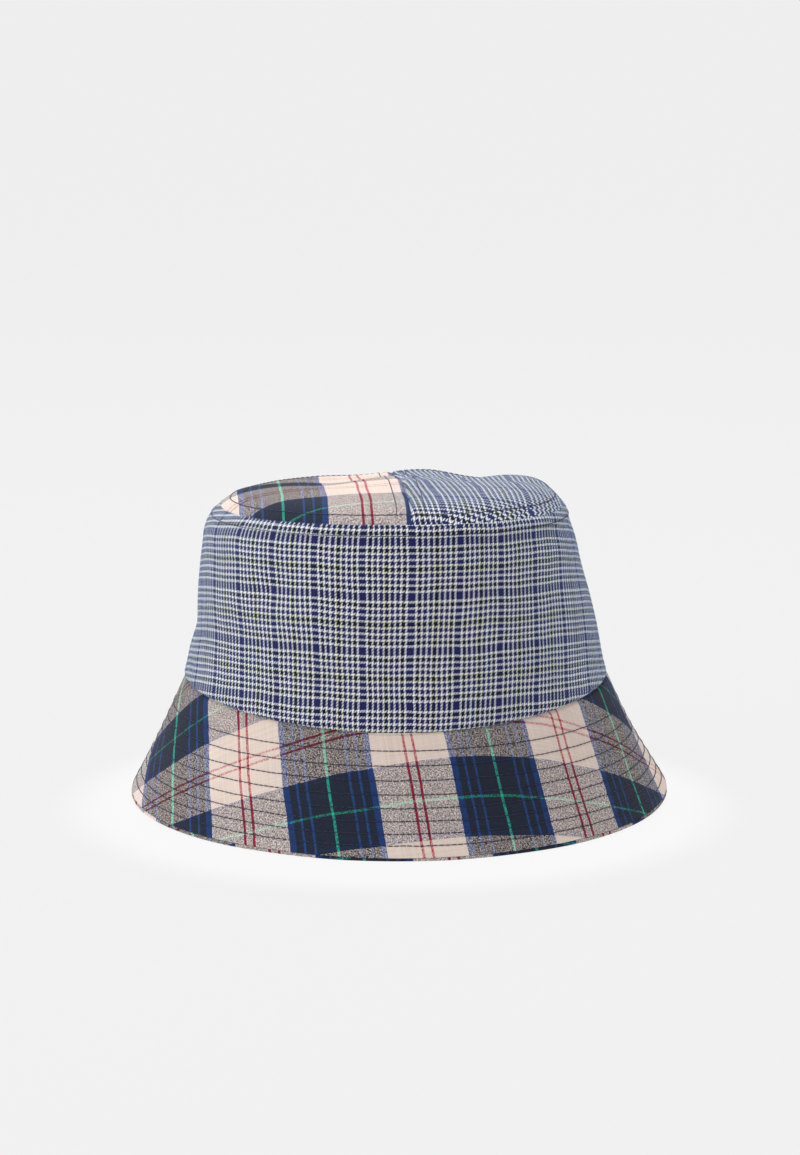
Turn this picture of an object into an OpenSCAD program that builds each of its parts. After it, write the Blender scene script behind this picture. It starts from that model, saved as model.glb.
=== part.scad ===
// Lined bucket hat: two-piece domed tip, two-piece crown side and a two-piece brim with stitched rows.
// Millimetres, +Z up. The origin is on the hat's axis, in the plane that the rim rests on.
// The front of the hat faces -Y, and its side seams are at +X and -X.

/* [Head] */
// Head size, measured round the inside of the sweatband
head_circumference = 565; // [545:5:600]
// Height of the sweatband tape
sweatband_h = 25; // [18:1:30]

/* [Crown] */
// Height of the crown side, from the brim seam to the tip seam
side_h = 83; // [76:1:92]
// How far the crown side leans in between its foot and its top
side_lean = 16; // [12:0.5:18]
// Rise of the domed tip above the tip seam
tip_rise = 9; // [6:0.5:13]
// Turn of the tip's centre seam away from the front
tip_turn = 3.5; // [0:0.5:10]
// How far the tip's centre seam lies from the hat's axis, towards +X
tip_seam_x = 1.5; // [0:0.5:4]

/* [Brim] */
// Height of the brim seam above the rim
brim_drop = 52; // [44:1:58]
// How far the rim stands outside the brim seam
brim_flare = 27.5; // [20:0.5:36]
// Number of stitched rows round the brim
brim_rows = 8; // [4:1:8]
// Distance of the lowest row from the rim, along the brim
first_row = 6.6; // [5:0.2:8]
// Height of the under cloth's edge where it shows below the upper cloth
lip_h = 1.2; // [0.8:0.1:2]

/* [Cloth] */
// Thickness of the outer cloth
shell_t = 0.6; // [0.4:0.05:0.8]
// Thickness of the lining cloth
lining_t = 0.3; // [0.2:0.05:0.4]
// Thickness of the brim's interlining
interlining_t = 0.5; // [0.3:0.05:0.7]
// Thickness of the sweatband tape
sweatband_t = 0.8; // [0.6:0.05:1]
// Radius of the sewing thread
thread_r = 0.2; // [0.12:0.01:0.25]

/* [Labels] */
// Width of the hanging care label
care_w = 25; // [18:1:30]
// Length of the care label below its seam
care_h = 38; // [25:1:45]
// Width of the woven label at the back
woven_w = 46; // [30:1:60]
// Height of the woven label at the back
woven_h = 18; // [12:1:24]

/* [Hidden] */

$fn = 96;

ply_gap = 0.08;         // air between plies that lie on each other
seam_gap = 0.1;         // air where two panels are sewn edge to edge
thread_air = 0.03;      // air between a thread and the cloth it lies on
land_h = 8;             // foot of the sweatband that stands upright
sweatband_lift = 1;     // height of the sweatband's foot above the brim seam
lip_inset = 0.25;       // how far the lip stands inside the upper cloth's outer face
interlining_inset = 4;  // how far the interlining stops short of the rim
row_pitch = 5;          // spacing of the lowest brim rows
row_growth = 0.13;      // extra spacing of each brim row further up
edge_stitch_inset = 4;  // distance of the tip's edge stitching from the tip seam
side_stitch_drop = 4.5; // distance of the side's stitching below the tip seam
seam_stitch_inset = 6;  // distance of the tip's stitching from its centre seam
label_t = 0.3;          // thickness of both labels
woven_z = 93;           // lower edge of the woven label
woven_stitch_inset = 1.5;
care_drop = 4;          // height of the care label's seam below the tip seam
care_stand = 2.5;       // how far the care label's seam stands inside the lining
dome_steps = 18;

// The crown side's slope, and how much wider a ply measures level than square to the cloth
slope = side_lean / side_h;
side_widen = sqrt(1 + slope * slope);
brim_slope = brim_flare / brim_drop;
brim_widen = sqrt(1 + brim_slope * brim_slope);

lining_at = shell_t + ply_gap;
crown_t = lining_at + lining_t;
interlining_at = shell_t + ply_gap;
under_at = interlining_at + interlining_t + ply_gap;
brim_t = under_at + shell_t;

head_r = head_circumference / (2 * PI);
foot_r = head_r + sweatband_t + ply_gap + crown_t * side_widen + (sweatband_lift + land_h) * slope;
top_r = foot_r - side_lean;
rim_r = foot_r + brim_flare;
seam_z = brim_drop;
tip_z = seam_z + side_h;
sweatband_z = seam_z + sweatband_lift;
dome_r = (top_r * top_r + tip_rise * tip_rise) / (2 * tip_rise);
dome_z = tip_z + tip_rise - dome_r;

// Radius of the crown side and of the brim at a height, for a ply this deep under the outer face
function side_r(z, depth) = foot_r - (z - seam_z) * slope - depth * side_widen;
function brim_r(z, depth) = rim_r - z * brim_slope - depth * brim_widen;

// Point of the domed tip at a radius on its outer face, this deep under that face
function dome_point(r, depth) =
    let (a = asin(r / dome_r))
    [(dome_r - depth) * sin(a), dome_z + (dome_r - depth) * cos(a)];

function dome_line(edge_r, depth) =
    [for (i = [0 : dome_steps]) dome_point(edge_r * i / dome_steps, depth)];

function reversed(points) = [for (i = [len(points) - 1 : -1 : 0]) points[i]];

// Distance of a brim row from the rim, along the brim
function row_at(i) = first_row + i * row_pitch + i * i * row_growth;

// Front or back half of a ring, from a profile drawn in the radius and height plane
module half_ring(front) {
    gap_angle = 2 * asin(seam_gap / 2 / top_r);
    rotate([0, 0, (front ? 180 : 0) + gap_angle / 2])
        rotate_extrude(angle = 180 - gap_angle)
            children();
}

// Part of a ring, centred on the given direction
module ring_part(direction, span) {
    rotate([0, 0, direction - span / 2])
        rotate_extrude(angle = span)
            children();
}

module side_profile(z_low, z_high, depth, thickness) {
    polygon([
        [side_r(z_low, depth), z_low],
        [side_r(z_high, depth), z_high],
        [side_r(z_high, depth + thickness), z_high],
        [side_r(z_low, depth + thickness), z_low]
    ]);
}

module interlining_profile() {
    z_high = seam_z - seam_gap;
    face = interlining_at;
    back = interlining_at + interlining_t;
    polygon([
        [brim_r(interlining_inset, face), interlining_inset],
        [brim_r(z_high, face), z_high],
        [brim_r(z_high, back), z_high],
        [brim_r(interlining_inset, back), interlining_inset]
    ]);
}

// The upper brim cloth, turned under at its lower edge to cover the edge of the interlining
module turned_brim_profile() {
    z_low = lip_h + ply_gap;
    z_turn = z_low + shell_t;
    polygon([
        [brim_r(z_low, 0), z_low],
        [brim_r(seam_z, 0), seam_z],
        [brim_r(seam_z, shell_t), seam_z],
        [brim_r(z_turn, shell_t), z_turn],
        [brim_r(z_turn, under_at - ply_gap), z_turn],
        [brim_r(z_low, under_at - ply_gap), z_low]
    ]);
}

// The under brim cloth, rolled out at the rim so that its edge shows as a lip below the upper cloth
module lipped_brim_profile() {
    z_high = seam_z - seam_gap;
    polygon([
        [brim_r(0, lip_inset), 0],
        [brim_r(lip_h, lip_inset), lip_h],
        [brim_r(lip_h, under_at), lip_h],
        [brim_r(z_high, under_at), z_high],
        [brim_r(z_high, brim_t), z_high],
        [brim_r(0, brim_t), 0]
    ]);
}

module dome_profile(edge_r, depth, thickness) {
    polygon(concat(dome_line(edge_r, depth), reversed(dome_line(edge_r, depth + thickness))));
}

module thread_section(r, z) {
    translate([r, z])
        circle(r = thread_r, $fn = 20);
}

// Half of the tip, on the -X or the +X side of its turned centre seam
module tip_half(plus_x) {
    block = 2 * top_r + 2;
    rotate([0, 0, tip_turn])
        intersection() {
            rotate_extrude()
                dome_profile(top_r, 0, shell_t);
            translate([plus_x ? seam_gap / 2 : -seam_gap / 2 - block, -block / 2, tip_z - block / 2])
                translate([tip_seam_x, 0, 0])
                    cube(block);
        }
}

module crown_tip_plaid_half() {
    color([0.55, 0.5, 0.5])
        tip_half(false);
}

module crown_tip_check_half() {
    color([0.45, 0.46, 0.56])
        tip_half(true);
}

module crown_side(front) {
    half_ring(front)
        side_profile(seam_z + seam_gap, tip_z - shell_t - seam_gap, 0, shell_t);
}

module crown_side_front() {
    color([0.45, 0.46, 0.56])
        crown_side(true);
}

module crown_side_back() {
    color([0.45, 0.46, 0.56])
        crown_side(false);
}

module brim_upper_front() {
    color([0.5, 0.48, 0.5])
        half_ring(true)
            turned_brim_profile();
}

module brim_upper_back() {
    color([0.5, 0.48, 0.5])
        half_ring(false)
            turned_brim_profile();
}

module brim_interlining(front) {
    half_ring(front)
        interlining_profile();
}

module brim_interlining_front() {
    color([0.9, 0.9, 0.88])
        brim_interlining(true);
}

module brim_interlining_back() {
    color([0.9, 0.9, 0.88])
        brim_interlining(false);
}

module brim_under(front) {
    half_ring(front)
        lipped_brim_profile();
}

module brim_under_front() {
    color([0.5, 0.48, 0.5])
        brim_under(true);
}

module brim_under_back() {
    color([0.5, 0.48, 0.5])
        brim_under(false);
}

module lining_tip() {
    color([0.08, 0.09, 0.16])
        rotate_extrude()
            dome_profile(top_r - 2 * shell_t, lining_at, lining_t);
}

module lining_side(front) {
    half_ring(front)
        side_profile(sweatband_z, tip_z - crown_t - 2 * shell_t, lining_at, lining_t);
}

module lining_side_front() {
    color([0.08, 0.09, 0.16])
        lining_side(true);
}

module lining_side_back() {
    color([0.08, 0.09, 0.16])
        lining_side(false);
}

// The band's foot is upright and grips the head; above it the band leans in with the crown
module sweatband() {
    top_in = (sweatband_h - land_h) * slope;
    color([0.1, 0.1, 0.12])
        rotate_extrude()
            polygon([
                [head_r, sweatband_z],
                [head_r + sweatband_t, sweatband_z],
                [head_r + sweatband_t, sweatband_z + land_h],
                [head_r + sweatband_t - top_in, sweatband_z + sweatband_h],
                [head_r - top_in, sweatband_z + sweatband_h],
                [head_r, sweatband_z + land_h]
            ]);
}

// Threads lie this far from the face of the cloth, to the middle of the thread
thread_out = thread_r + thread_air;

module brim_rows_at(depth) {
    slant = sqrt(brim_drop * brim_drop + brim_flare * brim_flare);
    for (i = [0 : brim_rows - 1]) {
        z = row_at(i) * brim_drop / slant;
        rotate_extrude()
            thread_section(brim_r(z, depth), z);
    }
}

module brim_row_stitching() {
    color([0.1, 0.12, 0.2])
        brim_rows_at(-thread_out);
}

module brim_row_bobbin_thread() {
    color([0.1, 0.12, 0.2])
        brim_rows_at(brim_t + thread_out);
}

module tip_edge_stitching() {
    at = dome_point(top_r - edge_stitch_inset, -thread_out);
    color([0.1, 0.12, 0.2])
        rotate_extrude()
            thread_section(at[0], at[1]);
}

// One row along each side of the tip's centre seam, bent to the dome
module tip_seam_stitching() {
    end_r = top_r - edge_stitch_inset - 1;
    color([0.1, 0.12, 0.2])
        rotate([0, 0, tip_turn])
            for (row_x = [tip_seam_x - seam_stitch_inset, tip_seam_x + seam_stitch_inset])
                seam_row(row_x, end_r);
}

// One row at a distance from the middle, which ends at a radius from the hat's axis
module seam_row(row_x, end_r) {
    row_r = sqrt(pow(dome_r + thread_out, 2) - pow(row_x, 2));
    half_span = asin(sqrt(pow(end_r, 2) - pow(row_x, 2)) / row_r);
    translate([row_x, 0, dome_z])
        rotate([90, 0, 90])
            rotate([0, 0, 90 - half_span])
                rotate_extrude(angle = 2 * half_span)
                    thread_section(row_r, 0);
}

module side_top_stitching() {
    z = tip_z - side_stitch_drop;
    color([0.1, 0.12, 0.2])
        rotate_extrude()
            thread_section(side_r(z, -thread_out), z);
}

// Whipped along the lower edge of the band, outside the face that touches the head
module sweatband_stitching() {
    color([0.1, 0.12, 0.2])
        rotate_extrude()
            thread_section(head_r + sweatband_t / 2, sweatband_z - thread_out);
}

// A blank label, curved with the lining at the middle of the back
module woven_label() {
    span = woven_w / side_r(woven_z, crown_t) * 180 / PI;
    color([0.85, 0.85, 0.88])
        ring_part(90, span)
            side_profile(woven_z, woven_z + woven_h, crown_t + ply_gap, label_t);
}

module woven_label_stitching() {
    span = (woven_w - 2 * woven_stitch_inset) / side_r(woven_z, crown_t) * 180 / PI;
    color([0.7, 0.7, 0.75])
        for (z = [woven_z + woven_stitch_inset, woven_z + woven_h - woven_stitch_inset])
            ring_part(90, span)
                thread_section(side_r(z, crown_t + ply_gap + label_t + thread_out), z);
}

// A flat tape that hangs from the allowance of the lining's upper seam on the +X side, and swings
// about its upper edge
care_z = tip_z - care_drop;
care_wall_r = side_r(care_z, crown_t);
care_x = sqrt(pow(care_wall_r, 2) - pow(care_w / 2, 2)) - label_t / 2 - care_stand;

module care_label() {
    color([0.95, 0.95, 0.95])
        translate([care_x - label_t / 2, -care_w / 2, care_z - care_h])
            cube([label_t, care_w, care_h]);
}

crown_tip_plaid_half();
crown_tip_check_half();
crown_side_front();
crown_side_back();
brim_upper_front();
brim_upper_back();
brim_interlining_front();
brim_interlining_back();
brim_under_front();
brim_under_back();
lining_tip();
lining_side_front();
lining_side_back();
sweatband();
brim_row_stitching();
brim_row_bobbin_thread();
tip_edge_stitching();
tip_seam_stitching();
side_top_stitching();
sweatband_stitching();
woven_label();
woven_label_stitching();
care_label();
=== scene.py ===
"""Looks of the bucket hat: woven cloth, seams and stitches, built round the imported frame."""
import math

import bmesh
import bpy
import numpy as np
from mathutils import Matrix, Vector


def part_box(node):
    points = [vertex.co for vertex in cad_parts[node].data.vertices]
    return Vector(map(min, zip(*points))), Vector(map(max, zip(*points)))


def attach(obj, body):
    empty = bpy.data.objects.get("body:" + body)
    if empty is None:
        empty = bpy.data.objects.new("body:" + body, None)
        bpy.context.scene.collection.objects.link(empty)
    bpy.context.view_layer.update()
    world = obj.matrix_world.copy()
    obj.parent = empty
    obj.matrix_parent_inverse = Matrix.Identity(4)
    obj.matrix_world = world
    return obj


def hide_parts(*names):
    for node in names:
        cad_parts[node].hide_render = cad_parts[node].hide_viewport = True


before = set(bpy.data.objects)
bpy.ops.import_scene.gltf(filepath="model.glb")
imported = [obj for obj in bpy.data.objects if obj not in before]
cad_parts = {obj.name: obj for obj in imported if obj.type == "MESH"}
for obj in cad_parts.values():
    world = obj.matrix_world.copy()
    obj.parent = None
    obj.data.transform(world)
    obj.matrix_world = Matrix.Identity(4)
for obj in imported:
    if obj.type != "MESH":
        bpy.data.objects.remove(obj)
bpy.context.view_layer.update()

MM = 0.001
FABRIC_UV = "fabric"


# ---- Sizes, read from the frame, in millimetres ----

def corner(node, which, axis):
    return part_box(node)[which]["xyz".index(axis)] / MM


LOW, HIGH = 0, 1
RIM_R = corner("brim_under_front", HIGH, "x") + 0.28
SEAM_Z = corner("brim_upper_front", HIGH, "z")
FOOT_R = corner("crown_side_front", HIGH, "x")
TIP_R = corner("crown_tip_check_half", HIGH, "y") + 0.2
TIP_Z = corner("crown_side_front", HIGH, "z") + 0.7
LIP_TOP = corner("brim_upper_front", LOW, "z")
BAND_T = 0.8
HEAD_R = corner("sweatband", HIGH, "x") - BAND_T
BAND_LOW = corner("sweatband", LOW, "z")
BAND_HIGH = corner("sweatband", HIGH, "z")
LABEL_LOW = corner("woven_label", LOW, "z")
LABEL_HIGH = corner("woven_label", HIGH, "z")
LABEL_HALF = corner("woven_label", HIGH, "x")

# Depth of each ply's two faces under the outer face
OUTER = (0.0, 0.6)
STIFFENER = (0.68, 1.18)
UNDER = (1.26, 1.86)
LIP_DEPTH = 0.25
LIP_UP = LIP_TOP / SEAM_Z
LIP_END = 0.93          # share of the lip's height at which the under cloth turns behind the upper cloth
LINING = (0.68, 0.98)
CROWN_T = LINING[1]
LABEL_PLY = (CROWN_T + 0.08, CROWN_T + 0.38)

# Drape of the real hat
SEAM_DIP = 3.4          # the brim seam dips at front and back, and rises at the sides
TIP_TURN = math.radians(3.5)
TIP_SEAM_X = 1.5        # the tip's centre seam passes the axis at this distance
TIP_MID_X = TIP_SEAM_X / math.cos(TIP_TURN)     # and crosses the middle line of the hat here
# How far the tip seam hangs below its nominal height, by direction in degrees from the back towards -X
TIP_SAG = [(-180, 0), (-85, 2.6), (-56, -1.4), (-34, 2), (-12, 0.2),
           (12, 3), (32, 1.3), (60, 1.8), (88, 2.8), (180, 0)]
TIP_SHOULDER, SHOULDER_REACH = 7.4, 6.5   # the tip climbs fast just inside its seam
TIP_RISE = 1.3                            # and slowly from there to its middle
# The tip hangs lower towards the back, by distance behind the middle
TIP_FALL = [(-14, 0), (14, 2.2), (40, 5.6), (60, 6.2), (78, 4)]
TIP_TILT = 0.015                          # and a little lower towards -X
# Creases along the back half of the tip, as (distance from the centre seam, half width), all this deep
CREASES, CREASE_DEPTH = [(-30, 13), (32, 12)], 1.6
SEAM_SWELL, SEAM_SWELL_WIDTH = 0.4, 8     # the seam allowance lifts the tip beside its centre seam
GROOVE_DEPTH, GROOVE_WIDTH, GROOVE_FADE = 1.1, 0.8, 3.0
LINING_SAG, LINING_SAG_WIDTH = 1.8, 14
# Extra radius towards +X at each height, taken off at -X
LEAN = [(0, 0), (SEAM_Z, -0.8), (78, -0.9), (112, -3.4), (124, -4.0), (TIP_Z, -1.8), (141, 0.2)]
# Extra radius of the crown side at each height
CROWN_BELLY = [(45, -0.2), (60, 0.6), (80, 0.9), (100, 1.6), (118, 1.8), (TIP_Z, 0.4)]
# Edges of the crown side, as (amount, distance over which it fades)
FOOT_SWELL, FOOT_TUCK, TOP_TUCK = (1.1, 4), (1.3, 0.7), (2.2, 2.6)
SIDE_SEAM_DENTS = [(0.5, 90, 0.9), (0.5, -90, 0.9)]
CROWN_CALM, TIP_CALM = 12, 9              # ripples start this far from a seam
# Waves along the rim, as (height, direction in degrees, half width in degrees)
RIM_LIFTS = [(3.5, 100, 28), (2.4, -100, 25)]
RIM_BULGES = [(0.8, 95, 40), (-1.0, -80, 60)]
RIM_SHIFT = -0.3        # the rim lies this much inside its nominal circle, before the bulges
# Dents and swellings of the outer cloth, as (depth or height, direction in degrees, half width in degrees)
# and the middle and half width of the same up the brim (a share) or at a height of the crown
BRIM_BULGE, BRIM_BULGE_UP = (2.6, 108, 11), (0.9, 0.16)    # behind the +X side seam, near the brim seam
CROWN_HOLLOW, HOLLOW_Z = (1.2, -88, 24), (78, 7)           # at the -X side
CROWN_DENT, DENT_Z, DENT_SLANT = (1.5, -38, 8), (104, 8), 0.35
ROW_PUFF = 0.22         # the brim cloth stands up this much between two rows of stitches
BRIM_RIPPLE, CROWN_RIPPLE, TIP_RIPPLE, ROW_WANDER = 0.5, 0.6, 0.4, 0.16
STITCH = 2.7            # length of a stitch
THREAD_R = 0.21
ROW_FIRST, ROW_PITCH, ROW_GROWTH, ROWS = 6.6, 5.0, 0.13, 8
TIP_ROW_IN, SIDE_ROW_DOWN, SEAM_ROW_OFF = 4, 4.5, 6   # distances of the other rows from their seams


# ---- Shape of the draped hat. phi is 0 at the front and grows towards +X ----

def profile(x, knots):
    """Smooth curve through (position, value) pairs."""
    xs, ys = np.array(knots, float).T
    x = np.clip(x, xs[0], xs[-1])
    i = np.clip(np.searchsorted(xs, x, side="right") - 1, 0, len(xs) - 2)
    f = (x - xs[i]) / (xs[i + 1] - xs[i])
    return ys[i] + (ys[i + 1] - ys[i]) * f * f * (3 - 2 * f)


def hump(x, centre, width):
    return np.exp(-(((x - centre) / width) ** 2))


def turn_from(phi, centre_deg):
    """Angle from a direction, in degrees, always the short way round."""
    return (np.degrees(phi) - centre_deg + 180) % 360 - 180


def ripples(a, b, seed, waves, amount):
    """Soft irregular folds: a sum of waves, with a in radians round the hat and b in millimetres."""
    rng = np.random.default_rng(seed)
    total = np.zeros(np.broadcast(a, b).shape)
    for _ in range(waves):
        round_count = rng.integers(1, 9)
        climb = rng.uniform(-1, 1) * 2 * math.pi / 45
        total += np.cos(round_count * a + climb * b + rng.uniform(0, 2 * math.pi)) / math.sqrt(round_count)
    return amount * total / math.sqrt(waves)


def bumps(phi, waves):
    """Sum of smooth waves round the hat. Each is (height, direction in degrees, half width in degrees)."""
    return sum(height * hump(turn_from(phi, centre), 0, width) for height, centre, width in waves)


def fading(distance, amount, reach):
    return amount * np.exp(-distance / reach)


def seam_height(phi):
    return SEAM_Z - SEAM_DIP * np.cos(2 * phi)


def to_xyz(phi, r, z):
    r = r + profile(z, LEAN) * np.sin(phi)
    return np.stack([r * np.sin(phi), -r * np.cos(phi), z + 0 * phi], axis=-1)


def row_distance(i):
    return ROW_FIRST + i * ROW_PITCH + i * i * ROW_GROWTH


def slant(phi):
    return np.hypot(seam_height(phi), RIM_R - FOOT_R)


def rim_lift(phi):
    """The rim rests on the floor at the front and the back, and lifts at the sides."""
    return 1.0 - np.cos(phi) ** 8 + bumps(phi, RIM_LIFTS)


def rim_out(phi):
    return RIM_SHIFT + bumps(phi, RIM_BULGES)


def brim_at(phi, up, depth):
    """Brim, from the rim (up 0) to its seam (up 1)."""
    length = slant(phi)
    run = up * length
    edges = [0] + [row_distance(i) for i in range(ROWS)] + [slant(0) + 8]
    puff = np.zeros_like(run)
    for low, high in zip(edges, edges[1:]):
        f = np.clip((run - low) / (high - low), 0, 1)
        puff += np.where((run >= low) & (run < high), np.sqrt(np.clip(np.sin(math.pi * f), 0, 1)), 0)
    soft = np.sin(math.pi * np.clip(up, 0, 1)) ** 0.7
    out = ROW_PUFF * puff + soft * ripples(phi, run, 5, 10, BRIM_RIPPLE)
    out += bumps(phi, [BRIM_BULGE]) * hump(up, *BRIM_BULGE_UP)
    out -= 0.7 * hump(length - run, 0, 1.0)     # the tuck into the seam with the crown
    wide = RIM_R + (FOOT_R - RIM_R) * up + rim_out(phi) * (1 - up)
    tall = seam_height(phi) * up + rim_lift(phi) * (1 - up) ** 3
    depth_in = depth - out
    rise = (RIM_R - FOOT_R) / length
    reach = seam_height(phi) / length
    return to_xyz(phi, wide - depth_in * reach, np.maximum(tall - depth_in * rise, 0.02))


def under_brim_at(phi, up, share):
    """The under cloth, from its hidden face (share 0) to its lower face. It shows as a lip at the rim."""
    lip = up < LIP_UP * LIP_END
    face = np.where(lip, LIP_DEPTH, UNDER[0])
    return brim_at(phi, up, face + (UNDER[1] - face) * share)


def crown_at(phi, up, depth):
    """Crown side, from the brim seam (up 0) to the tip seam (up 1)."""
    low, high = seam_height(phi), tip_height(phi)
    rise = high - low
    z = low + rise * up
    from_low, from_high = up * rise, (1 - up) * rise
    out = profile(z, CROWN_BELLY)
    out -= bumps(phi, [CROWN_HOLLOW]) * hump(z, *HOLLOW_Z)
    out -= bumps(phi, [CROWN_DENT]) * hump(z - DENT_SLANT * turn_from(phi, CROWN_DENT[1]), *DENT_Z)
    # The seam allowance swells above the brim seam, and both edges tuck in
    out += fading(from_low, *FOOT_SWELL) - fading(from_low, *FOOT_TUCK)
    out -= fading(from_high, *TOP_TUCK)
    calm = np.clip(from_low / CROWN_CALM, 0, 1) * np.clip(from_high / CROWN_CALM, 0, 1)
    out += calm * ripples(phi, z, 11, 14, CROWN_RIPPLE)
    out -= bumps(phi, SIDE_SEAM_DENTS)
    slope = (FOOT_R - TIP_R) / rise
    wide = FOOT_R + (TIP_R - FOOT_R) * up
    steep = np.sqrt(1 + slope * slope)
    depth_in = depth - out
    return to_xyz(phi, wide - depth_in / steep, z - depth_in * slope / steep)


def tip_height(phi):
    return TIP_Z - profile(turn_from(phi, 180), TIP_SAG)


def seam_groove(across, share):
    """Depth of the fold along the tip's centre seam, which fades out at the tip's edge."""
    return GROOVE_DEPTH * hump(across, 0, GROOVE_WIDTH) * (1 - np.exp(-(1 - share) * TIP_R / GROOVE_FADE))


def tip_at(phi, share, depth):
    """Domed tip: share is 0 in the middle and 1 at the tip seam."""
    edge = crown_at(phi, np.ones_like(phi), 0)
    x = TIP_MID_X + (edge[..., 0] - TIP_MID_X) * share
    y = edge[..., 1] * share
    across, along = seam_axes(x, y)
    from_edge = (1 - share) * TIP_R
    z = edge[..., 2] * share ** 2 + (TIP_Z + TIP_RISE) * (1 - share ** 2)
    z = z + TIP_SHOULDER * (1 - np.exp(-from_edge / SHOULDER_REACH))
    calm = 1 - np.exp(-from_edge / TIP_CALM)
    z = z - calm * (profile(along, TIP_FALL) - TIP_TILT * across)
    z = z + SEAM_SWELL * hump(across, 0, SEAM_SWELL_WIDTH) * calm - seam_groove(across, share)
    creased = sum(hump(across, centre, width) for centre, width in CREASES)
    z = z - calm * CREASE_DEPTH * creased * profile(along, [(-40, 0), (20, 1)])
    z = z + calm * ripples(across / 40, along, 21, 8, TIP_RIPPLE)
    return np.stack([x, y, z - depth], axis=-1)


def seam_axes(x, y):
    """Distance from the tip's centre seam, towards +X, and distance along it, towards the back."""
    across = x * math.cos(TIP_TURN) + y * math.sin(TIP_TURN) - TIP_SEAM_X
    along = -x * math.sin(TIP_TURN) + y * math.cos(TIP_TURN)
    return across, along


def lining_tip_at(phi, share, depth):
    """The tip's lining hangs lower under the centre seam, so that it clears the fold."""
    place = tip_at(phi, share, depth)
    across, _ = seam_axes(place[..., 0], place[..., 1])
    free = 1 - np.exp(-(1 - share) * TIP_R / GROOVE_FADE)
    place[..., 2] += seam_groove(across, share) - LINING_SAG * hump(across, 0, LINING_SAG_WIDTH) * free
    return place


def sweatband_at(phi, up, depth):
    z = BAND_LOW + (BAND_HIGH - BAND_LOW) * up
    share = (z - seam_height(phi)) / (tip_height(phi) - seam_height(phi))
    wall = crown_at(phi, np.clip(share, 0.06, 1), CROWN_T + 0.12)
    wall_r = np.hypot(wall[..., 0], wall[..., 1]) - profile(z, LEAN) * np.sin(phi)
    return to_xyz(phi, np.minimum(HEAD_R + BAND_T, wall_r) - depth, z)


# ---- Flat patterns: where each point of a panel lies on the cloth, in millimetres ----

def cloth_lay(turn, out, girth, spread, curl, skew, draw):
    """Place on the cloth of a point this far out from the brim seam.

    Curl bows the weft, spread fans the warp, and skew slants it.
    """
    u = (girth + spread * out) * np.sin(curl * turn) / curl + skew * out
    v = draw * out + girth * (1 - np.cos(curl * turn)) / curl
    return u, v


def side_pattern(middle_deg, shift_u, shift_v):
    """A crown side panel. Its zero is the crossing of a purple column and a purple row."""
    def flat(phi, up):
        height = up * np.hypot(tip_height(phi) - seam_height(phi), FOOT_R - TIP_R)
        u, v = cloth_lay(phi - math.radians(middle_deg), height,
                         girth=97.5, spread=-0.25, curl=0.146, skew=0, draw=1.006)
        return np.stack([u + shift_u, v + shift_v], axis=-1)
    return flat


def brim_pattern(middle_deg, shift_u, shift_v):
    """A brim panel. Its zero is the crossing of the green threads."""
    def flat(phi, up):
        down = (1 - up) * slant(phi)
        u, v = cloth_lay(phi - math.radians(middle_deg), down,
                         girth=94.9, spread=0.338, curl=0.762, skew=-0.094, draw=-0.986)
        return np.stack([u + shift_u, v + shift_v], axis=-1)
    return flat


def tip_pattern(shift_u, shift_v, skew=0.0, draw=1.0):
    """Half of the tip. Skew turns the warp away from the centre seam, and a small draw stretches it."""
    def flat(phi, share):
        place = tip_at(phi, share, 0)
        across, along = seam_axes(place[..., 0], place[..., 1])
        return np.stack([across + skew * along + shift_u, draw * along - skew * across + shift_v], axis=-1)
    return flat


def plain_pattern(radius):
    def flat(phi, up):
        return np.stack([phi * radius, up * 90], axis=-1)
    return flat


# ---- Mesh builders ----

def add_mesh(name, points, faces, uv=None, material=None, sharp_deg=42):
    mesh = bpy.data.meshes.new(name)
    mesh.from_pydata((np.asarray(points) * MM).tolist(), [], [tuple(f) for f in faces])
    if uv is not None:
        layer = mesh.uv_layers.new(name=FABRIC_UV)
        index = np.empty(len(mesh.loops), np.int32)
        mesh.loops.foreach_get("vertex_index", index)
        layer.data.foreach_set("uv", np.asarray(uv, np.float32)[index].ravel())
    made = bmesh.new()
    made.from_mesh(mesh)
    bmesh.ops.remove_doubles(made, verts=made.verts, dist=1e-8)
    bmesh.ops.recalc_face_normals(made, faces=made.faces)
    made.to_mesh(mesh)
    made.free()
    mesh.shade_smooth()
    mesh.set_sharp_from_angle(angle=math.radians(sharp_deg))
    obj = bpy.data.objects.new(name, mesh)
    bpy.context.scene.collection.objects.link(obj)
    if material:
        mesh.materials.append(material)
    return obj


def sheet(name, place, first, second, depths, flat, material):
    """A closed piece of cloth between two depths under a surface."""
    a, b = np.meshgrid(first, second, indexing="ij")
    outer, inner = place(a, b, depths[0]), place(a, b, depths[1])
    points = np.concatenate([outer.reshape(-1, 3), inner.reshape(-1, 3)])
    uv = flat(a, b).reshape(-1, 2)
    rows, columns = a.shape
    grid = np.arange(rows * columns).reshape(rows, columns)
    quads = np.stack([grid[:-1, :-1], grid[1:, :-1], grid[1:, 1:], grid[:-1, 1:]], axis=-1).reshape(-1, 4)
    under = quads[:, ::-1] + grid.size
    rim = np.concatenate([grid[:, 0], grid[-1, 1:], grid[-2::-1, -1], grid[0, -2::-1]])
    start, end = rim[:-1], rim[1:]
    walls = np.stack([start, end, end + grid.size, start + grid.size], axis=-1)
    faces = np.concatenate([quads, under, walls])
    return add_mesh(name, points, faces.tolist(), np.concatenate([uv, uv]), material)


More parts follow.
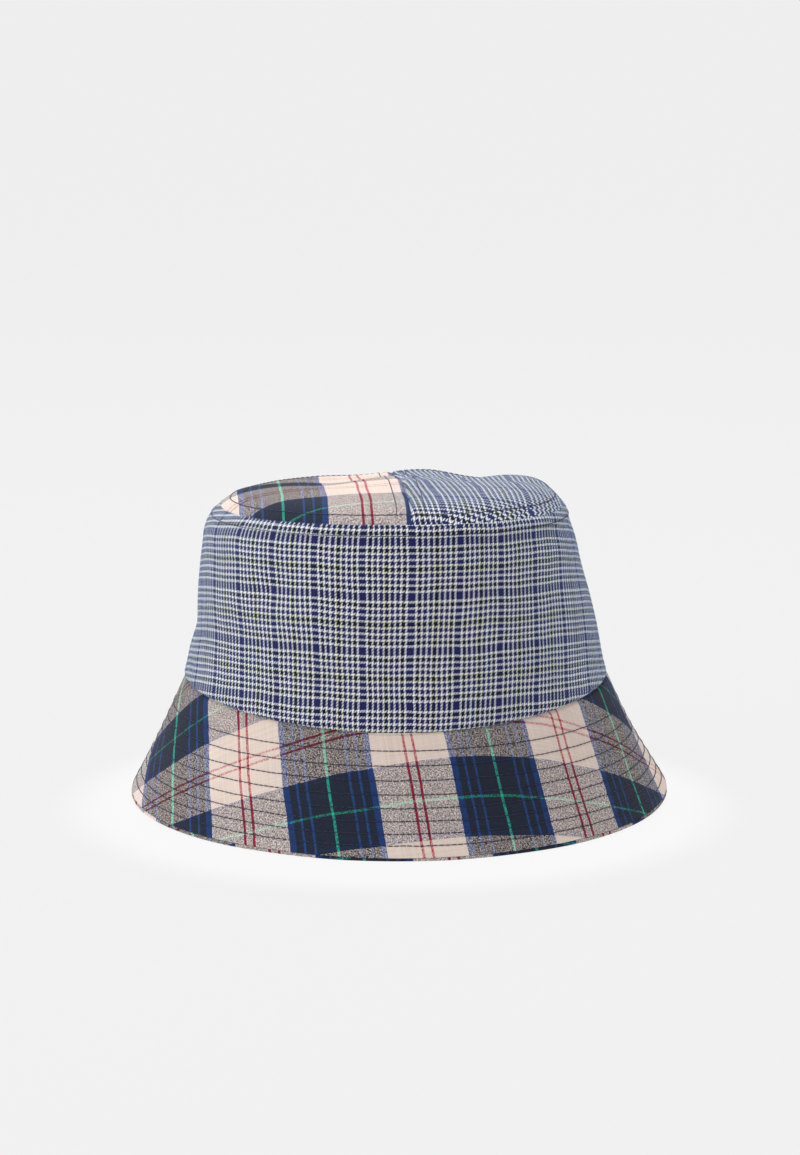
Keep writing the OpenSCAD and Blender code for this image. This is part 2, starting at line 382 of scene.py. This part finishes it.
def span(low_deg, high_deg, count, crowd=0.35):
    """Angles from low to high, closer together towards both ends."""
    even = np.linspace(-1, 1, count)
    bent = (1 - crowd) * even + crowd * np.sin(even * math.pi / 2)
    return np.radians((low_deg + high_deg) / 2 + bent * (high_deg - low_deg) / 2)


def sew(name, paths, material, radius=THREAD_R, pitch=STITCH, sides=6):
    """Separate stitches along paths. A path is (points, outward directions), both in millimetres."""
    lengthwise = np.array([0.0, 0.08, 0.3, 0.7, 0.92, 1.0])
    lift = np.array([-0.7, 0.2, 0.8, 0.8, 0.2, -0.7]) * radius
    thick = np.array([0.6, 0.9, 1, 1, 0.9, 0.6]) * radius
    turn = np.arange(sides) * 2 * math.pi / sides
    points, faces, base = [], [], 0
    for line, outward in paths:
        steps = np.linalg.norm(np.diff(line, axis=0), axis=1)
        at = np.concatenate([[0], np.cumsum(steps)])
        count = max(1, int(round(at[-1] / pitch)))
        step = at[-1] / count
        where = (np.arange(count)[:, None] + 0.01 + 0.98 * lengthwise[None, :]) * step
        centre = np.stack([np.interp(where, at, line[:, k]) for k in range(3)], axis=-1)
        up = np.stack([np.interp(where, at, outward[:, k]) for k in range(3)], axis=-1)
        up /= np.linalg.norm(up, axis=-1, keepdims=True)
        ahead = np.gradient(centre, axis=1)
        ahead /= np.linalg.norm(ahead, axis=-1, keepdims=True)
        side = np.cross(ahead, up)
        centre = centre + up * lift[None, :, None]
        spoke = (up[:, :, None] * np.cos(turn)[None, None, :, None]
                 + side[:, :, None] * np.sin(turn)[None, None, :, None])
        ring = centre[:, :, None] + thick[None, :, None, None] * spoke
        points.append(ring.reshape(-1, 3))
        knots = len(lengthwise)
        index = base + np.arange(count * knots * sides).reshape(count, knots, sides)
        ahead_ring = np.roll(index, -1, axis=2)
        quads = np.stack([index[:, :-1], ahead_ring[:, :-1], ahead_ring[:, 1:], index[:, 1:]], axis=-1)
        faces += quads.reshape(-1, 4).tolist()
        faces += index[:, 0, ::-1].tolist() + index[:, -1].tolist()
        base += count * knots * sides
    return add_mesh(name, np.concatenate(points), faces, None, material, sharp_deg=60)


def path_on(place, first, second, depth, outside=1):
    """Points on a surface, with the direction that faces away from the cloth."""
    first, second = np.broadcast_arrays(np.asarray(first, float), np.asarray(second, float))
    here = place(first, second, depth)
    away = here - place(first, second, depth + 0.5 * outside)
    return here, away / np.linalg.norm(away, axis=-1, keepdims=True)


# ---- Materials ----

def paint(r, g, b):
    """Linear colour from the usual 0 to 255 display values."""
    shares = (r / 255, g / 255, b / 255)
    return tuple(c / 12.92 if c < 0.04 else ((c + 0.055) / 1.055) ** 2.4 for c in shares) + (1,)


class Cloth:
    """A small helper that builds one procedural material."""

    def __init__(self, name, roughness=0.9, sheen=0.15):
        self.material = bpy.data.materials.new(name)
        self.material.use_nodes = True
        self.tree = self.material.node_tree
        self.surface = self.tree.nodes["Principled BSDF"]
        self.surface.inputs["Roughness"].default_value = roughness
        self.surface.inputs["Specular IOR Level"].default_value = 0.25
        self.surface.inputs["Sheen Weight"].default_value = sheen
        self.surface.inputs["Sheen Roughness"].default_value = 0.5

    def node(self, kind, **settings):
        made = self.tree.nodes.new(kind)
        for key, value in settings.items():
            setattr(made, key, value)
        return made

    def put(self, socket, value):
        if isinstance(value, bpy.types.NodeSocket):
            self.tree.links.new(value, socket)
        else:
            socket.default_value = value

    def math(self, operation, *values):
        made = self.node("ShaderNodeMath", operation=operation)
        for socket, value in zip(made.inputs, values):
            self.put(socket, value)
        return made.outputs[0]

    def mix(self, share, a, b, blend="MIX"):
        made = self.node("ShaderNodeMix", data_type="RGBA", blend_type=blend)
        self.put(made.inputs["Factor"], share)
        self.put(made.inputs["A"], a)
        self.put(made.inputs["B"], b)
        return made.outputs["Result"]

    def join(self, x, y, z=0.0):
        made = self.node("ShaderNodeCombineXYZ")
        for socket, value in zip(made.inputs, (x, y, z)):
            self.put(socket, value)
        return made.outputs[0]

    def cloth_place(self):
        layer = self.node("ShaderNodeUVMap", uv_map=FABRIC_UV)
        split = self.node("ShaderNodeSeparateXYZ")
        self.put(split.inputs[0], layer.outputs[0])
        return split.outputs[0], split.outputs[1]

    def random(self, *cell):
        made = self.node("ShaderNodeTexWhiteNoise", noise_dimensions="2D")
        self.put(made.inputs["Vector"], self.join(*cell))
        return made.outputs["Value"]

    def cloud(self, u, v, size, detail=2.0):
        made = self.node("ShaderNodeTexNoise", noise_dimensions="2D")
        self.put(made.inputs["Vector"], self.join(u, v))
        self.put(made.inputs["Scale"], 1 / size)
        self.put(made.inputs["Detail"], detail)
        return made.outputs["Fac"]

    def stripes(self, share, bands):
        """Colour of a thread from its share of the repeat. bands is [(width, colour), ...]."""
        made = self.node("ShaderNodeValToRGB")
        ramp = made.color_ramp
        ramp.interpolation = "CONSTANT"
        total, at = sum(width for width, _ in bands), 0
        for i, (width, colour) in enumerate(bands):
            stop = ramp.elements[i] if i < 2 else ramp.elements.new(at / total)
            stop.position = at / total
            stop.color = colour
            at += width
        self.put(made.inputs[0], share)
        return made.outputs["Color"]

    def scaled(self, colour, factor):
        made = self.node("ShaderNodeVectorMath", operation="SCALE")
        self.put(made.inputs[0], colour)
        self.put(made.inputs["Scale"], factor)
        return made.outputs[0]

    def weave_height(self, along, across, warp_up):
        """Round threads: the warp where it is up, and the weft elsewhere."""
        round_warp = self.math("SINE", self.math("MULTIPLY", self.math("FRACT", along), math.pi))
        round_weft = self.math("SINE", self.math("MULTIPLY", self.math("FRACT", across), math.pi))
        warp_part = self.math("MULTIPLY", warp_up, round_warp)
        weft_part = self.math("MULTIPLY", self.math("SUBTRACT", 1.0, warp_up), round_weft)
        return self.math("ADD", warp_part, weft_part)

    def relief(self, height, distance, strength=1.0):
        made = self.node("ShaderNodeBump")
        made.inputs["Strength"].default_value = strength
        made.inputs["Distance"].default_value = distance * MM
        self.put(made.inputs["Height"], height)
        self.put(self.surface.inputs["Normal"], made.outputs[0])

    def finish(self, colour):
        self.put(self.surface.inputs["Base Color"], colour)
        return self.material


def around(cloth, value, low, high):
    """Maps a value from 0..1 to low..high."""
    return cloth.math("MULTIPLY_ADD", value, high - low, low)


WHITE = paint(250, 252, 255)
YELLOW = paint(238, 243, 204)
PURPLE = paint(34, 31, 98)
BLUE = paint(32, 34, 94)
BLACK = paint(8, 9, 10)

# Thread order of the check, as (threads, colour), from the middle of a purple band to the middle of a black.
# The other half of the repeat is its mirror image
DARK, LIGHT, PURPLE_BAND = 4.9, 3.1, 10.2
HALF_CHECK = [
    (PURPLE_BAND / 2, PURPLE), (LIGHT, WHITE), (DARK, BLACK), (LIGHT, WHITE), (DARK, BLUE), (LIGHT, WHITE),
    (DARK, BLUE), (LIGHT / 2, WHITE), (LIGHT / 2, YELLOW), (DARK / 2, BLACK),
]
CHECK_BANDS = HALF_CHECK + HALF_CHECK[::-1]
CHECK_THREADS = sum(width for width, _ in CHECK_BANDS)
TWILL, WARP_FLOAT = 4.0, 2.1    # threads in one step of the twill, and how many of them the warp covers


def check_material():
    """Twill of fine threads whose colour order draws small broken checks and wide purple crossings."""
    warp_pitch, weft_pitch = 0.295, 0.335
    cloth = Cloth("check_cotton", roughness=0.9, sheen=0.32)
    cloth.surface.inputs["Sheen Tint"].default_value = (0.24, 0.5, 1, 1)
    u, v = cloth.cloth_place()
    sway_u = cloth.math("ADD", u, around(cloth, cloth.cloud(u, v, 34), -0.9, 0.9))
    sway_v = cloth.math("ADD", v, around(cloth, cloth.cloud(v, u, 30), -0.9, 0.9))
    along, across = cloth.math("DIVIDE", sway_u, warp_pitch), cloth.math("DIVIDE", sway_v, weft_pitch)

    def thread(place):
        into_repeat = cloth.math("FLOORED_MODULO", place, CHECK_THREADS)
        return cloth.stripes(cloth.math("DIVIDE", into_repeat, CHECK_THREADS), CHECK_BANDS)

    step = cloth.math("FLOORED_MODULO", cloth.math("SUBTRACT", along, across), TWILL)
    warp_up = cloth.math("LESS_THAN", step, WARP_FLOAT)
    colour = cloth.mix(warp_up, thread(across), thread(along))
    height = cloth.weave_height(along, across, warp_up)
    i, j = cloth.math("FLOOR", along), cloth.math("FLOOR", across)
    uneven = cloth.math("ADD", cloth.random(i, 3.0), cloth.random(j, 8.0))
    # Painted shade in the gaps between the round threads and a little painted highlight on their crowns,
    # times random tone of each thread
    shade = cloth.math("MULTIPLY", around(cloth, height, 0.25, 1.09), around(cloth, uneven, 0.93, 1.035))
    shade = cloth.math("MULTIPLY", shade, around(cloth, cloth.cloud(u, v, 18), 0.94, 1.06))
    cloth.relief(height, 0.06)
    return cloth.finish(cloth.scaled(colour, shade))


CREAM = paint(226, 208, 197)
NAVY = paint(29, 33, 43)
DIM_NAVY = paint(30, 43, 68)
ROYAL = paint(24, 62, 126)
LINE_BLUE = paint(30, 74, 138)
DIM_ROYAL = paint(29, 50, 94)
DIM_BLUE = paint(32, 48, 82)
GREEN = paint(34, 176, 144)
RED = paint(172, 20, 46)

# From the middle of a navy stripe outwards to the middle of a cream stripe, in millimetres
WARP_BANDS = [
    (0.5, GREEN), (7.85, NAVY), (1.0, LINE_BLUE), (3.1, NAVY), (1.0, LINE_BLUE), (2.8, NAVY), (2.6, ROYAL),
    (13.8, CREAM), (1.1, RED), (1.45, CREAM),
]
WEFT_BANDS = [
    (0.5, GREEN), (7.1, DIM_NAVY), (0.9, DIM_BLUE), (2.7, DIM_NAVY), (0.9, DIM_BLUE), (2.5, DIM_NAVY),
    (2.4, DIM_ROYAL), (15.65, CREAM), (1.1, RED), (1.45, CREAM),
]
DISPLAY_GAMMA = 2.2


def plaid_material(name):
    """Plain weave with a large plaid; the warp covers more of the face than the weft."""
    pitch, warp_cover = 0.36, 0.64
    speck_size, speck_stretch, speck_contrast = 0.6, 0.85, 2.5
    single_threads = 0.35   # how far single threads show against the blended colour
    cloth = Cloth(name, roughness=0.92, sheen=0.04)
    u, v = cloth.cloth_place()
    sway_u = cloth.math("ADD", u, around(cloth, cloth.cloud(u, v, 45), -0.9, 0.9))
    sway_v = cloth.math("ADD", v, around(cloth, cloth.cloud(v, u, 40), -1.2, 1.2))

    def thread(place, bands):
        half = sum(width for width, _ in bands)
        place = cloth.math("FLOORED_MODULO", cloth.math("ADD", place, half), 2 * half)
        out = cloth.math("ABSOLUTE", cloth.math("SUBTRACT", place, half))
        return cloth.stripes(cloth.math("DIVIDE", out, half), bands)

    warp, weft = thread(sway_u, WARP_BANDS), thread(sway_v, WEFT_BANDS)
    along, across = cloth.math("DIVIDE", sway_u, pitch), cloth.math("DIVIDE", sway_v, pitch)
    i, j = cloth.math("FLOOR", along), cloth.math("FLOOR", across)
    odd = cloth.math("FLOORED_MODULO", cloth.math("ADD", i, j), 2.0)
    luck = cloth.math("MULTIPLY_ADD", cloth.random(i, j), 0.5, cloth.math("MULTIPLY", odd, 0.5))
    warp_up = cloth.math("GREATER_THAN", luck, 0.36)

    # Uneven yarn lets more of the warp or of the weft show, in specks a few threads wide
    speck = cloth.cloud(u, cloth.math("MULTIPLY", v, speck_stretch), speck_size, 1.0)
    cover = cloth.math("MULTIPLY_ADD", cloth.math("SUBTRACT", speck, 0.5), speck_contrast, warp_cover)
    cover = cloth.math("MINIMUM", cloth.math("MAXIMUM", cover, 0.05), 1.0)

    # Colours of crossing threads blend by display value, not by light; this makes the blend darker than the
    # mix of their colours, as painted shade between the threads
    def bent(colour, power):
        made = cloth.node("ShaderNodeGamma")
        cloth.put(made.inputs[0], colour)
        made.inputs[1].default_value = power
        return made.outputs[0]

    weft_for_shaded_blend, warp_for_shaded_blend = bent(weft, 1 / DISPLAY_GAMMA), bent(warp, 1 / DISPLAY_GAMMA)
    blend = bent(cloth.mix(cover, weft_for_shaded_blend, warp_for_shaded_blend), DISPLAY_GAMMA)
    colour = cloth.mix(single_threads, blend, cloth.mix(warp_up, weft, warp))
    uneven = cloth.math("ADD", cloth.random(i, 5.0), cloth.random(j, 2.0))
    patches = around(cloth, cloth.cloud(u, v, 22), 0.94, 1.06)
    shade = cloth.math("MULTIPLY", around(cloth, uneven, 0.94, 1.03), patches)
    height = cloth.weave_height(along, across, warp_up)
    cloth.relief(height, 0.05)
    return cloth.finish(cloth.scaled(colour, shade))


def simple_weave(name, colour, pitch, roughness=0.9, sheen=0.2, twill=1.0):
    """One-colour cloth with visible threads."""
    cloth = Cloth(name, roughness, sheen)
    u, v = cloth.cloth_place()
    along, across = cloth.math("DIVIDE", u, pitch), cloth.math("DIVIDE", v, pitch)
    i, j = cloth.math("FLOOR", along), cloth.math("FLOOR", across)
    step = cloth.math("FLOORED_MODULO", cloth.math("ADD", i, j), 2 * twill)
    up = cloth.math("LESS_THAN", step, twill - 0.5)
    height = cloth.weave_height(along, across, up)
    patches = around(cloth, cloth.cloud(u, v, 14), 0.85, 1.15)
    # Painted shade in the gaps between the round threads and a little painted highlight on their crowns,
    # times patches of uneven tone
    shade = cloth.math("MULTIPLY", around(cloth, height, 0.7, 1.12), patches)
    cloth.relief(height, 0.06)
    return cloth.finish(cloth.scaled(colour, shade))


def thread_material():
    cloth = Cloth("sewing_thread", roughness=0.55, sheen=0.1)
    place = cloth.node("ShaderNodeTexCoord").outputs["Object"]
    made = cloth.node("ShaderNodeTexNoise")
    cloth.put(made.inputs["Vector"], place)
    made.inputs["Scale"].default_value = 400
    shade = around(cloth, made.outputs["Fac"], 0.6, 1.5)
    return cloth.finish(cloth.scaled(paint(34, 37, 66)[:3], shade))


CHECK = check_material()
PLAID = plaid_material("plaid_cotton")
LINING_CLOTH = simple_weave("lining_cotton", paint(26, 30, 52)[:3], 0.3)
TAPE = simple_weave("sweatband_twill", paint(24, 26, 38)[:3], 0.5, twill=2.0)
CANVAS = simple_weave("interlining", paint(222, 220, 212)[:3], 0.5)
WOVEN = simple_weave("woven_label", paint(188, 192, 200)[:3], 0.25, roughness=0.6)
SATIN = simple_weave("satin_tape", paint(236, 236, 234)[:3], 0.2, roughness=0.4)
THREAD = thread_material()


# ---- Pieces ----

def hand_in(obj, slot, *nodes, body="hat"):
    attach(obj, body)
    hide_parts(*nodes)
    return obj


SEAM_AIR = 0.05
FRONT, BACK = (-90, 90), (90, 270)
UP_BRIM = LIP_UP + (1 - LIP_UP) * np.linspace(0, 1, 100)
# Rows close together over the lip, then evenly up to the seam
UP_UNDER = np.concatenate([np.array([0, 0.3, 0.6, 0.9]) * LIP_UP, np.linspace(0.96 * LIP_UP, 0.995, 60)])
UP_CROWN = 0.5 - 0.5 * np.cos(np.linspace(0, math.pi, 90))

for word, (low, high), side_middle, side_shift, brim_middle, brim_shift, under_shift in (
    ("front", FRONT, -2.5, (-9.6, -11.3), 11.6, (50.4, 29.0), (40.9, 49.2)),
    ("back", BACK, 182.5, (1.2, -11.3), 168.4, (-12.0, 29.0), (8.0, 49.2)),
):
    wide = span(low + SEAM_AIR, high - SEAM_AIR, 400)
    coarse = span(low + SEAM_AIR, high - SEAM_AIR, 160)
    fine = span(low + SEAM_AIR, high - SEAM_AIR, 300)
    side_flat = side_pattern(side_middle, *side_shift)
    brim_flat = brim_pattern(brim_middle, *brim_shift)
    hand_in(sheet(f"crown_side_{word}_cloth", crown_at, wide, UP_CROWN, OUTER, side_flat, CHECK),
            "check_cotton", f"crown_side_{word}")
    hand_in(sheet(f"brim_upper_{word}_cloth", brim_at, wide, UP_BRIM, OUTER, brim_flat, PLAID),
            "plaid_cotton", f"brim_upper_{word}")
    hand_in(sheet(f"brim_interlining_{word}_canvas", brim_at, coarse, np.linspace(0.05, 0.99, 30),
                  STIFFENER, plain_pattern(100), CANVAS),
            "interlining", f"brim_interlining_{word}")
    hand_in(sheet(f"brim_under_{word}_cloth", under_brim_at, fine, UP_UNDER,
                  (0, 1), brim_pattern(brim_middle, *under_shift), PLAID),
            "plaid_cotton", f"brim_under_{word}")
    hand_in(sheet(f"lining_side_{word}_cloth", crown_at, coarse, np.linspace(0.012, 0.992, 60),
                  LINING, plain_pattern(85), LINING_CLOTH),
            "lining_cotton", f"lining_side_{word}")

SEAM_OFF_DEG = math.degrees(math.asin(TIP_SEAM_X / TIP_R))
SEAM_FRONT = math.degrees(TIP_TURN) + SEAM_OFF_DEG
SEAM_BACK = math.degrees(TIP_TURN) + 180 - SEAM_OFF_DEG
SHARES = 1 - np.linspace(0, 1, 80) ** 1.3
for word, low, high, flat, cloth, slot in (
    ("plaid", SEAM_BACK - 360, SEAM_FRONT, tip_pattern(-17.0, 54.4, draw=0.92), PLAID, "plaid_cotton"),
    ("check", SEAM_FRONT, SEAM_BACK, tip_pattern(-9.0, 75.7, 0.08), CHECK, "check_cotton"),
):
    hand_in(sheet(f"crown_tip_{word}_cloth", tip_at, span(low + 0.04, high - 0.04, 260, 0.8), SHARES,
                  OUTER, flat, cloth),
            slot, f"crown_tip_{word}_half")
hand_in(sheet("lining_tip_cloth", lining_tip_at, np.radians(np.linspace(0, 360, 160)),
              0.997 * (1 - np.linspace(0, 1, 60)), LINING, tip_pattern(0, 0), LINING_CLOTH),
        "lining_cotton", "lining_tip")
hand_in(sheet("sweatband_tape", sweatband_at, np.radians(np.linspace(-179.9, 179.9, 300)),
              np.linspace(0, 1, 30), (0, BAND_T), plain_pattern(HEAD_R), TAPE),
        "sweatband_twill", "sweatband")

# Stitches
ROUND = np.radians(np.linspace(-180, 180, 721))


def brim_row(i, depth, outside):
    """One row of stitches, which wanders a little from its line."""
    wander = ripples(9 * ROUND, 0.0, 40 + i, 6, ROW_WANDER)
    up = (row_distance(i) + wander) / slant(ROUND)
    return path_on(brim_at, ROUND, up, depth, outside)


hand_in(sew("brim_row_stitches", [brim_row(i, 0.0, 1) for i in range(ROWS)], THREAD),
        "sewing_thread", "brim_row_stitching")
hand_in(sew("brim_row_bobbin_stitches", [brim_row(i, UNDER[1], -1) for i in range(ROWS)], THREAD),
        "sewing_thread", "brim_row_bobbin_thread")
hand_in(sew("tip_edge_stitches", [path_on(tip_at, ROUND, 1 - TIP_ROW_IN / TIP_R, 0)], THREAD),
        "sewing_thread", "tip_edge_stitching")
side_row_up = 1 - SIDE_ROW_DOWN / (TIP_Z - SEAM_Z)
hand_in(sew("side_top_stitches", [path_on(crown_at, ROUND, side_row_up, 0)], THREAD),
        "sewing_thread", "side_top_stitching")


def seam_row(offset):
    """Stitches beside the tip's centre seam, found by steps since the tip's edge isn't a circle."""
    across = offset + TIP_SEAM_X
    along = np.linspace(-1, 1, 240) * (TIP_R - 5)
    x = across * math.cos(TIP_TURN) - along * math.sin(TIP_TURN)
    y = across * math.sin(TIP_TURN) + along * math.cos(TIP_TURN)
    phi = np.arctan2(x, -y)
    for _ in range(4):
        edge = tip_at(phi, np.ones_like(phi), 0)
        share = np.hypot(x - TIP_MID_X, y) / np.hypot(edge[..., 0] - TIP_MID_X, edge[..., 1])
        away = np.arctan2(x - TIP_MID_X, -y) - np.arctan2(edge[..., 0] - TIP_MID_X, -edge[..., 1])
        phi = phi + np.angle(np.exp(1j * away))
    return path_on(tip_at, phi, share, 0)


hand_in(sew("tip_seam_stitches", [seam_row(-SEAM_ROW_OFF), seam_row(SEAM_ROW_OFF)], THREAD),
        "sewing_thread", "tip_seam_stitching")
hand_in(sew("sweatband_stitches", [path_on(sweatband_at, ROUND, 0.1, BAND_T, -1)], THREAD),
        "sewing_thread", "sweatband_stitching")

# Labels
label_span = math.degrees(LABEL_HALF / corner("woven_label", HIGH, "y"))


def share_of(z):
    return (z - SEAM_Z) / (TIP_Z - SEAM_Z)


tape_phi = np.radians(np.linspace(180 - label_span, 180 + label_span, 40))
tape_up = np.linspace(share_of(LABEL_LOW), share_of(LABEL_HIGH), 20)
hand_in(sheet("woven_label_tape", crown_at, tape_phi, tape_up, LABEL_PLY, plain_pattern(75), WOVEN),
        "woven_label", "woven_label")
label_phi = np.radians(np.linspace(182 - label_span, 178 + label_span, 60))
hand_in(sew("woven_label_stitches", [path_on(crown_at, label_phi, share_of(z), LABEL_PLY[1], -1)
                                     for z in (LABEL_LOW + 1.5, LABEL_HIGH - 1.5)], THREAD),
        "sewing_thread", "woven_label_stitching")


CARE_T = 0.3
care_low, care_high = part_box("care_label")


def care_at(across, down, depth):
    """The care label hangs flat from its upper edge."""
    x = care_low.x / MM + depth + 0 * across
    return np.stack([x, across, care_high.z / MM - down], axis=-1)


def care_flat(across, down):
    return np.stack([across, down], axis=-1)


hand_in(sheet("care_label_tape", care_at, np.linspace(care_low.y, care_high.y, 20) / MM,
              np.linspace(0, (care_high.z - care_low.z) / MM, 30), (0, CARE_T), care_flat, SATIN),
        "satin_tape", "care_label", body="care_label")


# ---- Floor, light and camera, in metres ----

FLOOR_HALF = 30
FLOOR_GREY, FLOOR_GLOW = 0.04, 0.832
# Painted pool of light on the floor round the hat: its centre, inner and outer radius, and strength
HALO_CENTRE, HALO_INNER, HALO_OUTER, PAINTED_HALO_LIGHT = (0, -0.02, 0), 0.125, 0.16, 0.07
WORLD_LIGHT = 0.59
CAMERA_PLACE, CAMERA_DOWN_DEG, CAMERA_LENS, SENSOR = (0.0012, -1.5, 0.372), 10.34, 106.53, 36


def add_floor():
    """A pale floor that glows evenly and hardly takes shadow, with painted light that makes it a little
    brighter close to the hat.
    """
    corners = [(x * FLOOR_HALF, y * FLOOR_HALF, 0) for x, y in ((-1, -1), (1, -1), (1, 1), (-1, 1))]
    mesh = bpy.data.meshes.new("floor")
    mesh.from_pydata(corners, [], [(0, 1, 2, 3)])
    floor = bpy.data.objects.new("floor", mesh)
    bpy.context.scene.collection.objects.link(floor)
    paper = Cloth("floor", roughness=1.0, sheen=0.0)
    paper.surface.inputs["Specular IOR Level"].default_value = 0
    place = paper.node("ShaderNodeTexCoord").outputs["Object"]
    centre = paper.node("ShaderNodeVectorMath", operation="DISTANCE")
    paper.put(centre.inputs[0], place)
    centre.inputs[1].default_value = HALO_CENTRE
    near = paper.node("ShaderNodeMapRange", interpolation_type="SMOOTHSTEP")
    for socket, value in zip(near.inputs, (centre.outputs["Value"], HALO_INNER, HALO_OUTER, PAINTED_HALO_LIGHT, 0.0)):
        paper.put(socket, value)
    glow = paper.math("ADD", near.outputs[0], FLOOR_GLOW)
    paper.put(paper.surface.inputs["Emission Strength"], glow)
    paper.surface.inputs["Emission Color"].default_value = (1, 1, 1, 1)
    paper.finish((FLOOR_GREY, FLOOR_GREY, FLOOR_GREY, 1))
    mesh.materials.append(paper.material)


def add_area(name, place, target, size, power):
    """A round soft light that faces its target."""
    light = bpy.data.lights.new(name, "AREA")
    light.shape = "DISK"
    light.size = size
    light.energy = power
    obj = bpy.data.objects.new(name, light)
    obj.location = place
    obj.rotation_mode = "QUATERNION"
    obj.rotation_quaternion = (Vector(target) - Vector(place)).to_track_quat("-Z", "Y")
    bpy.context.scene.collection.objects.link(obj)


add_floor()
world = bpy.data.worlds.new("studio")
world.use_nodes = True
world.node_tree.nodes["Background"].inputs[0].default_value = (1, 1, 1, 1)
world.node_tree.nodes["Background"].inputs[1].default_value = WORLD_LIGHT
bpy.context.scene.world = world
add_area("key", (-1.5, -0.6, 1.1), (0, 0, 0.06), 1.2, 13)
add_area("top", (-0.1, 0.5, 1.6), (0, 0, 0.1), 1.4, 18)
bpy.context.scene.view_settings.view_transform = "Standard"

camera_data = bpy.data.cameras.new("camera")
camera_data.lens = CAMERA_LENS
camera_data.sensor_width = SENSOR
camera = bpy.data.objects.new("camera", camera_data)
camera.location = CAMERA_PLACE
camera.rotation_euler = (math.radians(90 - CAMERA_DOWN_DEG), 0, 0)
bpy.context.scene.collection.objects.link(camera)
bpy.context.scene.camera = camera
